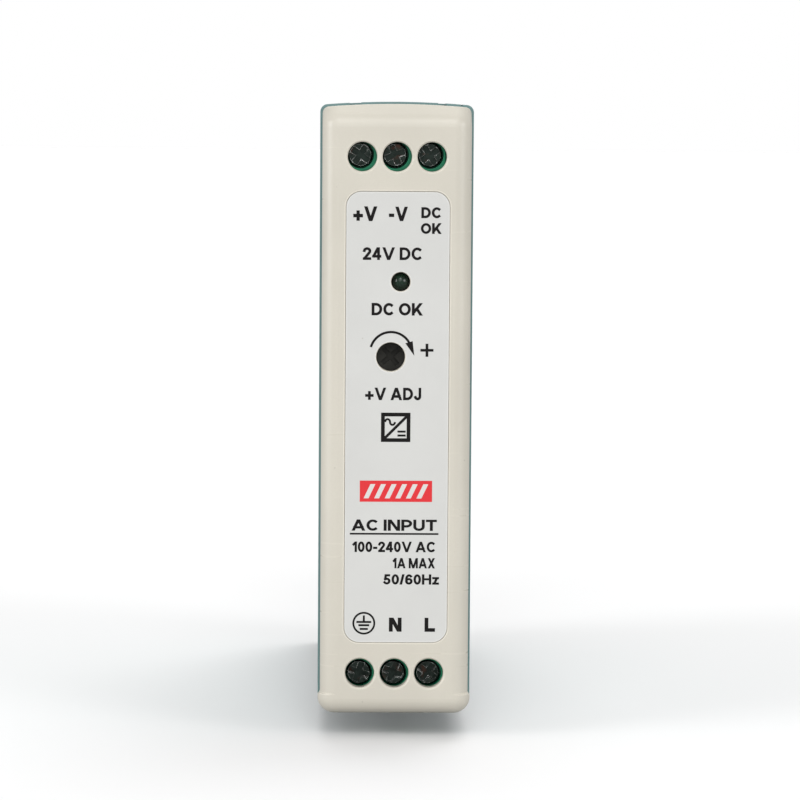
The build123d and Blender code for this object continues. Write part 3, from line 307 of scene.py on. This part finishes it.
def film(name, colour):
    """Satin printed film: almost flat, with fine tooth, faint yellowing, rubbed patches and a painted
    highlight lightening its edges and hole rims.
    """
    f = Finish(name, 0.42, specular=0.4)
    tooth = f.noise(0.12, 2)
    clouds = f.noise(9, 4)
    tone = f.mix(f.band(clouds, 0.4, 0.62), shade(colour, 0.985), shade(colour, 1.012))
    tone = f.mix(f.band(tooth, 0.62, 0.78, 0, 0.18), tone, shade(colour, 0.88))
    specks = f.band(f.cells(5.5), 0.022, 0.012)
    tone = f.mix(f.maths("MULTIPLY", specks, 0.5), tone, screen(140, 128, 112))
    # painted highlight: the film's edges and hole rims lightened
    tone = f.mix(f.maths("MULTIPLY", f.edges(0.34), 0.9), tone, shade(colour, 1.3))
    f.bump(tooth, 0.003, 0.5)
    f.bump(clouds, 0.02, 0.15)
    return f.done(tone, f.band(clouds, 0.3, 0.7, 0.36, 0.48))


def ink(name, colour, roughness=0.5):
    """Screen-printed ink: nearly even, a little thin in places."""
    f = Finish(name, roughness, specular=0.12)
    thin = f.noise(0.18, 3, 0.7)
    tone = f.mix(f.band(thin, 0.58, 0.8, 0, 0.3), colour, shade(colour, 1.5))
    f.bump(thin, 0.002, 0.4)
    return f.done(tone, f.band(thin, 0.3, 0.7, roughness - 0.08, roughness + 0.08))


def lens(name, colour):
    """Tinted clear epoxy of an unlit lamp: dark and smooth, with a cloudy heart."""
    f = Finish(name, 0.2, specular=0.35)
    f.shader.inputs["Subsurface Weight"].default_value = 0.1
    f.shader.inputs["Subsurface Radius"].default_value = (0.4 * MM, 1.2 * MM, 0.6 * MM)
    heart = f.noise(0.9, 2)
    tone = f.mix(f.band(heart, 0.3, 0.7), shade(colour, 0.6), shade(colour, 1.5))
    f.bump(f.noise(1.5, 1), 0.02, 0.2)
    return f.done(tone, f.band(f.noise(0.4, 3), 0.4, 0.8, 0.16, 0.28))


def blackened(name, colour):
    """Blackened steel: dark and glossy, rust-tinted here and there, with painted glints as bright spots along
    its edges.
    """
    f = Finish(name, 0.26, metallic=1.0)
    patches = f.noise(1.0, 4, 0.65)
    tone = f.mix(f.band(patches, 0.35, 0.65), shade(colour, 0.65), shade(colour, 1.3))
    rust = f.noise(1.6, 2, 0.5, f.stretched((1, 1, 1), (40, 20, 0)))
    tone = f.mix(f.band(rust, 0.58, 0.72, 0, 0.5), tone, seen(92, 52, 40))
    # painted glints: near-white spots along edges where light would catch
    painted_glints = f.band(f.noise(0.9, 2), 0.48, 0.60, 0.1, 1.0)
    tone = f.mix(f.maths("MULTIPLY", f.edges(0.16), painted_glints), tone, (0.95, 0.96, 0.94, 1))
    f.soften(0.07)
    f.bump(patches, 0.02, 0.4)
    return f.done(tone, f.band(patches, 0.35, 0.7, 0.22, 0.42))


INK_BLACK = ink("ink_black", seen(22, 20, 20), 0.6)
INK_RED = ink("ink_red", seen(230, 60, 65), 0.45)
INK_WHITE = ink("ink_white", seen(228, 224, 220), 0.45)
FINISHES = {
    "teal_housing": moulded("teal_moulding", seen(108, 141, 141), 0.46, 0.32, 0.016, 0.3),
    "cream_cover": moulded("cream_moulding", seen(216, 211, 198), 0.37, 0.24, 0.005, 0.3, 1.5, 0.5),
    "label_film": film("label_film_white", seen(217, 217, 214)),
    "terminal_green": moulded("terminal_green", seen(6, 124, 88), 0.35, 0.5, 0.006, 0.3, 1.4, 0.3),
    "screw_steel": blackened("blackened_steel", seen(48, 56, 52)),
    "clamp_steel": metal("zinc_plate", screen(176, 172, 160), 0.3),
    "contact_tin": metal("tin_plate", screen(190, 190, 186), 0.28),
    "led_lens": lens("lamp_lens", seen(14, 38, 24)),
    "black_plastic": moulded("black_moulding", seen(34, 34, 35), 0.42, 0.4, 0.006, 0.2, 1.5),
    "board_laminate": board("board_green", screen(28, 92, 52)),
    "trimmer_blue": moulded("trimmer_blue", screen(40, 70, 140), 0.4, 0.5, 0.005, 0.2, 1.2),
    "rotor_black": moulded("rotor_dark", seen(50, 50, 47), 0.6, 0.5, 0.005, 0.2, 1.1, 0.15),
    "fuse_brown": dipped("fuse_brown", screen(74, 44, 34)),
    "disc_coating": dipped("disc_blue", screen(44, 84, 150)),
    "thermistor_coating": dipped("thermistor_green", screen(52, 74, 52), 0.5),
    "capacitor_yellow": moulded("film_capacitor_yellow", screen(206, 178, 74), 0.4, 0.5, 0.006, 0.2, 1.1),
    "ferrite": moulded("ferrite_grey", screen(72, 72, 76), 0.55, 0.2, 0.012, 0.5, 1.3),
    "copper_wire": wound("copper_winding", screen(196, 104, 56)),
    "winding_tape": dipped("winding_tape", screen(214, 184, 70), 0.25),
    "capacitor_sleeve": dipped("capacitor_sleeve", screen(40, 46, 66), 0.28),
    "heatsink_aluminium": metal("mill_aluminium", screen(190, 192, 195), 0.36),
    "latch_plastic": moulded("latch_black", seen(38, 38, 40), 0.45, 0.35, 0.008, 0.3, 1.6),
    "spring_steel": metal("spring_wire", screen(150, 150, 150), 0.25, (1, 1, 1)),
}


def dress_frame():
    """Give every CAD node the finish of its record slot."""
    for part in frame["record"]["subparts"]:
        node = NODES[part["node"]]
        node.data.materials.clear()
        node.data.materials.append(FINISHES[part["material_slot"]])


dress_frame()


# ---------------------------------------------------------------- lettering
def curve_points(centre, radii, start_deg, end_deg, steps=16):
    """Points along part of an upright ellipse."""
    angles = [math.radians(start_deg + (end_deg - start_deg) * i / steps) for i in range(steps + 1)]
    return [(centre[0] + radii[0] * math.cos(a), centre[1] + radii[1] * math.sin(a)) for a in angles]


def letter_shapes(pen):
    """Plain capitals and figures one unit high, drawn with a pen of this width.

    Each is its width, its height and its centre lines. A line's ends are square and stand half a pen out,
    and whatever passes the letter's top or foot is cut off flat.
    """
    h = pen / 2
    top = 1 - h
    steep = 1.05 * h
    sloped = 1.2 * h

    def bar(low, high, level):
        return [(low + h, level), (high - h, level)]

    def stem(x, low=0.0, high=1.0):
        return [(x, low + h), (x, high - h)]

    def bowl(width, low, high, straight):
        """From the stem round and back to it."""
        arc = curve_points((straight, (low + high) / 2), (width - h - straight, (high - low) / 2), 90, -90)
        return [(h, high)] + arc + [(h, low)]

    def ring(width, height=1.0):
        return curve_points((width / 2, height / 2), (width / 2 - h, height / 2 - h), 0, 360, 32)

    def leg(x):
        """Height 0.3 on the left leg of an A that leans from x to the middle."""
        return steep + (x / 2 - steep) * 0.3

    figure = 0.64
    return {
        " ": (0.20, 1, []),
        "-": (0.40, 1, [bar(0, 0.40, 0.40)]),
        "+": (0.70, 1, [bar(0, 0.70, 0.37), stem(0.35, 0.02, 0.72)]),
        "/": (0.36, 1, [[(0.07, 0), (0.29, 1)]]),
        "0": (figure, 1, [ring(figure)]),
        "1": (0.42, 1, [stem(0.42 - h), [(0.42 - h, 0.94), (h, 0.72)]]),
        "2": (figure, 1, [
            curve_points((0.32, 0.70), (0.32 - h, 0.30 - h), 172, -38) + [(1.4 * h, 1.3 * h)],
            bar(0, figure, h),
        ]),
        "4": (0.68, 1, [[(0.45, 1), (h, 0.31)], bar(0, 0.68, 0.29), stem(0.47)]),
        "5": (figure, 1, [
            bar(0.12, 0.60, top), [(0.12 + h, top), (0.07 + h, 0.52)],
            curve_points((0.31, 0.33), (0.32 - h, 0.33 - h), 128, -150),
        ]),
        "6": (figure, 1, [
            ring(figure, 0.64), curve_points((0.34, 0.5), (0.34 - h, 0.5 - h), 50, 205),
        ]),
        "A": (0.96, 1, [
            [(steep, 0), (0.48, 1)], [(0.96 - steep, 0), (0.48, 1)],
            [(leg(0.96), 0.3), (0.96 - leg(0.96), 0.3)],
        ]),
        "C": (0.84, 1, [curve_points((0.44, 0.5), (0.44 - h, 0.5 - h), 54, 306, 24)]),
        "D": (0.82, 1, [stem(h), bowl(0.82, h, top, 0.34)]),
        "H": (0.80, 1, [stem(h), stem(0.80 - h), bar(0, 0.80, 0.52)]),
        "I": (pen, 1, [stem(h)]),
        "J": (0.60, 1, [[(0.60 - h, top)] + curve_points((0.30, 0.30), (0.30 - h, 0.30 - h), 0, -160)]),
        "K": (0.86, 1, [stem(h), [(pen, 0.33), (0.86 - 1.35 * h, 1)], [(0.38, 0.55), (0.86 - sloped, 0)]]),
        "L": (0.72, 1, [stem(h), bar(0, 0.72, h)]),
        "M": (1.04, 1, [stem(h), stem(1.04 - h), [(sloped, 1), (0.52, 0)], [(1.04 - sloped, 1), (0.52, 0)]]),
        "N": (0.86, 1, [stem(h), stem(0.86 - h), [(sloped, 1), (0.86 - sloped, 0)]]),
        "O": (0.92, 1, [ring(0.92)]),
        "P": (0.76, 1, [stem(h), bowl(0.76, 0.40, top, 0.36)]),
        "T": (0.76, 1, [bar(0, 0.76, top), stem(0.38)]),
        "U": (0.80, 1, [
            [(h, top)] + curve_points((0.40, 0.36), (0.40 - h, 0.36 - h), 180, 360) + [(0.80 - h, top)],
        ]),
        "V": (0.96, 1, [[(steep, 1), (0.48, 0)], [(0.96 - steep, 1), (0.48, 0)]]),
        "X": (0.84, 1, [[(sloped, 0), (0.84 - sloped, 1)], [(sloped, 1), (0.84 - sloped, 0)]]),
        "z": (0.58, 0.74, [bar(0, 0.58, h), bar(0, 0.58, 0.74 - h), [(1.3 * h, 0), (0.58 - 1.3 * h, 0.74)]]),
    }


def ribbon(points, pen, cap):
    """Quads of a line of constant width; an open line's ends stand out by cap."""
    line = [Vector(p) for p in points]
    closed = (line[0] - line[-1]).length < 1e-6
    if closed:
        line.pop()
    else:
        line[0] += (line[0] - line[1]).normalized() * cap
        line[-1] += (line[-1] - line[-2]).normalized() * cap
    rims = []
    for i, point in enumerate(line):
        ways = []
        if closed or i > 0:
            ways.append((point - line[i - 1]).normalized())
        if closed or i < len(line) - 1:
            ways.append((line[(i + 1) % len(line)] - point).normalized())
        along = sum(ways, Vector((0, 0))).normalized()
        side = Vector((-along.y, along.x)) * pen / 2 / along.dot(ways[0])
        rims.append((point + side, point - side))
    pairs = zip(rims, rims[1:] + rims[:1] if closed else rims[1:])
    return [[a, b, d, c] for (a, b), (c, d) in pairs]


def cut_level(polygon, level, keep):
    """The part of a polygon above a level where keep is 1, or below it where keep is -1."""
    kept = []
    for a, b in zip(polygon, polygon[1:] + polygon[:1]):
        over_a, over_b = keep * (a[1] - level), keep * (b[1] - level)
        if over_a >= 0:
            kept.append(Vector(a))
        if over_a * over_b < 0:
            kept.append(Vector(a).lerp(Vector(b), over_a / (over_a - over_b)))
    return kept


# ---------------------------------------------------------------- printed label
LABEL_FACE_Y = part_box("front_label")[0][1]
PRINT_PROUD = 0.012 * MM
PRINT_DEPTH = 0.02 * MM
LETTER_GAP = 0.08  # between letters, in letter heights


class Print:
    """Flat shapes on the label, in millimetres seen from the front, joined into one thin raised mesh."""

    def __init__(self):
        self.shapes = []

    def polygon(self, points):
        flat = [Vector(p) for p in points]
        turn = sum(a.x * b.y - a.y * b.x for a, b in zip(flat, flat[1:] + flat[:1]))
        if abs(turn) > 1e-7:
            self.shapes.append(flat if turn > 0 else flat[::-1])

    def bar(self, x, z, width, height):
        left, right, low, high = x - width / 2, x + width / 2, z - height / 2, z + height / 2
        self.polygon([(left, low), (right, low), (right, high), (left, high)])

    def line(self, points, pen):
        """A line of constant width through the points, with its ends cut square."""
        for quad in ribbon(points, pen, 0):
            self.polygon(quad)

    def words(self, text, x, z, width, height, pen=0.21):
        """A line of lettering centred on x, z. The pen is in letter heights."""
        letters = letter_shapes(pen)
        natural = sum(letters[c][0] + LETTER_GAP for c in text) - LETTER_GAP
        stretch = width / natural
        left = x - width / 2
        for c in text:
            letter_width, letter_height, lines = letters[c]
            for points in lines:
                for quad in ribbon(points, pen, pen / 2):
                    cut = cut_level(cut_level(quad, 0, 1), letter_height, -1)
                    self.polygon([(left + p[0] * stretch, z + (p[1] - 0.5) * height) for p in cut])
            left += (letter_width + LETTER_GAP) * stretch

    def piece(self, name, material, proud=PRINT_PROUD):
        """Join the overlapping shapes into one piece that stands a little proud of the label."""
        corners = [corner for shape in self.shapes for corner in shape]
        faces = []
        for shape in self.shapes:
            first = faces[-1][-1] + 1 if faces else 0
            faces.append(list(range(first, first + len(shape))))
        points, _, triangles, _, _, owners = delaunay_2d_cdt(corners, [], faces, 1, 1e-5)
        mesh = bmesh.new()
        verts = [mesh.verts.new((p.x, p.y, 0)) for p in points]
        for triangle, owner in zip(triangles, owners):
            if owner:
                mesh.faces.new([verts[i] for i in triangle])
        bmesh.ops.delete(mesh, geom=[v for v in mesh.verts if not v.link_faces], context="VERTS")
        grown = bmesh.ops.extrude_face_region(mesh, geom=mesh.faces[:])
        for item in grown["geom"]:
            if isinstance(item, bmesh.types.BMVert):
                item.co.z += PRINT_DEPTH / MM
        for v in mesh.verts:
            x, z, depth = v.co
            v.co = (x * MM, LABEL_FACE_Y - proud + depth * MM, z * MM)
        bmesh.ops.recalc_face_normals(mesh, faces=mesh.faces)
        printing = add_object(name, mesh, material)
        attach(printing, "housing")


def terminal_legends():
    """What each terminal is, and the output voltage."""
    p = Print()
    p.words("+V", -4.63, 22.2, 3.5, 2.15, 0.24)
    p.words("-V", 0.19, 22.2, 2.76, 2.1, 0.24)
    p.words("DC", 5.0, 22.4, 2.93, 1.6, 0.23)
    p.words("OK", 5.0, 20.1, 3.05, 1.57, 0.23)
    p.words("24V DC", -0.6, 16.4, 8.7, 1.85, 0.21)
    p.words("N", 0.12, -38.1, 1.86, 2.08, 0.26)
    p.words("L", 5.2, -38.1, 1.54, 2.07, 0.26)
    p.piece("print_terminal_legends", INK_BLACK)


def adjuster_legends():
    """Lamp and adjuster wording, with the turning arrow round the adjuster's hole."""
    p = Print()
    p.words("DC OK", 0.12, 8.3, 7.5, 1.82, 0.22)
    p.words("+V ADJ", -0.4, -4.1, 8.2, 1.83, 0.22)
    p.line(curve_points((-0.76, 1.9), (3.06, 3.06), 164, 31, 36), 0.35)
    p.polygon([(1.33, 3.33), (2.39, 3.64), (2.64, 1.51)])
    p.bar(4.49, 2.32, 1.91, 0.4)
    p.bar(4.49, 2.32, 0.4, 1.91)
    p.piece("print_adjuster_legends", INK_BLACK)


def converter_symbol():
    """The general symbol of a converter: a square with a diagonal, a wave and a pair of bars."""
    p = Print()
    x, z, side, line = 0.0, -9.0, 4.3, 0.55
    half = (side - line) / 2
    for offset in (-half, half):
        p.bar(x + offset, z, line, side)
        p.bar(x, z + offset, side, line)
    p.line([(x - half, z - half), (x + half, z + half)], 0.4)
    p.line(curve_points((x - 1.2, z + 0.78), (0.36, 0.42), 180, 0, 12), 0.3)
    p.line(curve_points((x - 0.48, z + 0.78), (0.36, 0.42), 180, 360, 12), 0.3)
    for drop in (0.62, 1.2):
        p.bar(x + 0.86, z - drop, 1.2, 0.3)
    p.piece("print_converter_symbol", INK_BLACK)


def rating_lines():
    """The input ratings."""
    p = Print()
    p.words("AC INPUT", -0.13, -23.4, 12.5, 1.66, 0.21)
    p.bar(-0.13, -24.68, 13.0, 0.26)
    p.words("100-240V AC", -0.13, -26.6, 12.2, 1.56, 0.215)
    p.words("1A MAX", 2.8, -29.0, 6.2, 1.52, 0.225)
    p.words("50/60Hz", 2.4, -31.4, 8.2, 1.52, 0.21)
    p.piece("print_rating_lines", INK_BLACK)


def earth_symbol():
    """Protective earth: a circle round a stem on three bars."""
    p = Print()
    x, z = -4.5, -37.9
    p.line(curve_points((x, z), (1.54, 1.54), 0, 360, 64), 0.28)
    p.line([(x, z + 0.18), (x, z + 1.16)], 0.3)
    for offset, width in ((0.18, 2.18), (-0.30, 1.6), (-0.85, 1.2)):
        p.bar(x, z + offset, width, 0.3)
    p.piece("print_earth_symbol", INK_BLACK)


def colour_block():
    """A red panel with plain slanted bars."""
    x, z, width, height = 0.09, -18.4, 10.6, 3.12
    block = Print()
    block.bar(x, z, width, height)
    block.piece("print_red_block", INK_RED)
    bars = Print()
    count, pitch, half, slant, reach = 6, 1.55, 0.36, 0.5, 1.05
    for i in range(count):
        mid = x + (i - (count - 1) / 2) * pitch
        bars.polygon([
            (mid - slant - half, z - reach), (mid - slant + half, z - reach),
            (mid + slant + half, z + reach), (mid + slant - half, z + reach),
        ])
    bars.piece("print_block_bars", INK_WHITE, PRINT_PROUD + 0.006 * MM)


for build in (terminal_legends, adjuster_legends, converter_symbol, rating_lines, earth_symbol, colour_block):
    build()


# ---------------------------------------------------------------- latch spring
SPRING_WIRE_R = 0.25 * MM
SPRING_TURNS = 7.5
CLOSED_TURNS = 1.0  # at each end, wire against wire
CLOSED_PITCH = 2.08 * SPRING_WIRE_R
TURN_STEPS = 36
WIRE_SIDES = 12


def latch_coil():
    """The latch's spring: it stands on the housing's post."""
    low, high = (Vector(corner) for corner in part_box("latch_spring"))
    middle = (low + high) / 2
    coil_r = (high.x - low.x) / 2 - SPRING_WIRE_R
    foot, head = low.z + SPRING_WIRE_R, high.z - SPRING_WIRE_R
    closed_rise = CLOSED_TURNS * CLOSED_PITCH
    open_rise = (head - foot - 2 * closed_rise) / (SPRING_TURNS - 2 * CLOSED_TURNS)

    def height(turn):
        """Height of the wire's middle after this many turns."""
        if turn < CLOSED_TURNS:
            return foot + turn * CLOSED_PITCH
        left = SPRING_TURNS - turn
        if left < CLOSED_TURNS:
            return head - left * CLOSED_PITCH
        return foot + closed_rise + open_rise * (turn - CLOSED_TURNS)

    mesh = bmesh.new()
    rings = []
    for i in range(round(SPRING_TURNS * TURN_STEPS) + 1):
        turn = i / TURN_STEPS
        out = Vector((math.cos(turn * math.tau), math.sin(turn * math.tau), 0))
        centre = Vector((middle.x, middle.y, height(turn))) + out * coil_r
        rings.append([
            mesh.verts.new(centre + SPRING_WIRE_R * (out * math.cos(a) + Vector((0, 0, math.sin(a)))))
            for a in (side * math.tau / WIRE_SIDES for side in range(WIRE_SIDES))
        ])
    for ring, following in zip(rings, rings[1:]):
        for side in range(WIRE_SIDES):
            beside = (side + 1) % WIRE_SIDES
            face = mesh.faces.new((ring[side], ring[beside], following[beside], following[side]))
            face.smooth = True
    mesh.faces.new(rings[0])
    mesh.faces.new(rings[-1])
    bmesh.ops.recalc_face_normals(mesh, faces=mesh.faces)
    coil = add_object("latch_coil", mesh, FINISHES["spring_steel"])
    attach(coil, "housing")
    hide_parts("latch_spring")
    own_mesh(coil)


latch_coil()


# ---------------------------------------------------------------- stage, light and camera
BACKDROP = 1.0  # how bright the pale surroundings look
AMBIENT = 0.45  # how much light they give
FLOOR_LIGHT = 1.18  # light that reaches the floor, as a share of what shows a colour at its own value
FLOOR_BOUNCE = 0.6  # how much of it the floor gives back to the unit
FLOOR_RADIUS = 12.0
FLOOR_GAP = 0.05 * MM


def seen_or_shed(tree, look, shed):
    """A grey value that is one number to the eye and another as a source of light on the unit."""
    path = tree.nodes.new("ShaderNodeLightPath")
    choice = tree.nodes.new("ShaderNodeMapRange")
    choice.inputs["To Min"].default_value = shed
    choice.inputs["To Max"].default_value = look
    tree.links.new(path.outputs["Is Camera Ray"], choice.inputs["Value"])
    return choice.outputs["Result"]


def build_stage():
    """A pale floor just under the lowest point of the unit, wide enough to meet the horizon."""
    mesh = bmesh.new()
    bmesh.ops.create_circle(mesh, cap_ends=True, segments=96, radius=FLOOR_RADIUS)
    for v in mesh.verts:
        v.co.z = cad_box[0][2] - FLOOR_GAP
    f = Finish("pale_stage", 0.8, specular=0.1)
    grey = seen_or_shed(f.tree, BACKDROP / FLOOR_LIGHT, FLOOR_BOUNCE / FLOOR_LIGHT)
    stage = add_object("stage", mesh, f.done(grey))


def soft_light(name, azimuth, elevation, share, width=45):
    """Light from a broad distant source. Azimuth 0 is in front, 90 is to the right, in degrees."""
    light = bpy.data.lights.new(name, "SUN")
    light.energy = share * math.pi
    light.angle = math.radians(width)
    lamp = bpy.data.objects.new(name, light)
    lamp.rotation_euler = (math.radians(90 - elevation), 0, math.radians(azimuth))
    bpy.context.scene.collection.objects.link(lamp)


def build_light():
    """A pale sky, weak light from the front and stronger light from both sides and from behind."""
    world = bpy.data.worlds.new("studio")
    world.use_nodes = True
    sky = world.node_tree.nodes["Background"]
    sky.inputs["Color"].default_value = (1, 1, 1, 1)
    world.node_tree.links.new(seen_or_shed(world.node_tree, BACKDROP, AMBIENT), sky.inputs["Strength"])
    bpy.context.scene.world = world
    soft_light("front_light", -5, 24, 0.30)
    soft_light("gloss_light", 0, 42, 0.14, 20)
    soft_light("left_light", -66, 12, 0.58, 30)
    soft_light("right_light", 52, 12, 0.42, 30)
    soft_light("back_light", 165, 60, 0.42)


def build_camera():
    """Nearly square on to the front, a little above and to the left, and tilted by a fraction of a degree."""
    front = Vector((0, cad_box[0][1], -6.5 * MM))
    distance, azimuth, elevation, roll = 0.52, math.radians(-1.2), math.radians(4.6), math.radians(0.38)
    away = Vector((math.sin(azimuth) * math.cos(elevation), -math.cos(azimuth) * math.cos(elevation),
                   math.sin(elevation)))
    data = bpy.data.cameras.new("camera")
    data.sensor_width = 36
    data.lens = 160
    data.dof.use_dof = False
    camera = bpy.data.objects.new("camera", data)
    camera.location = front + away * distance
    aim = front + Vector((0.60 * MM, 0, 1.52 * MM))
    turn = (aim - camera.location).to_track_quat("-Z", "Y").to_matrix() @ Matrix.Rotation(roll, 3, "Z")
    camera.rotation_euler = turn.to_euler()
    bpy.context.scene.collection.objects.link(camera)
    bpy.context.scene.camera = camera


build_stage()
build_light()
build_camera()
bpy.context.scene.view_settings.view_transform = "Standard"
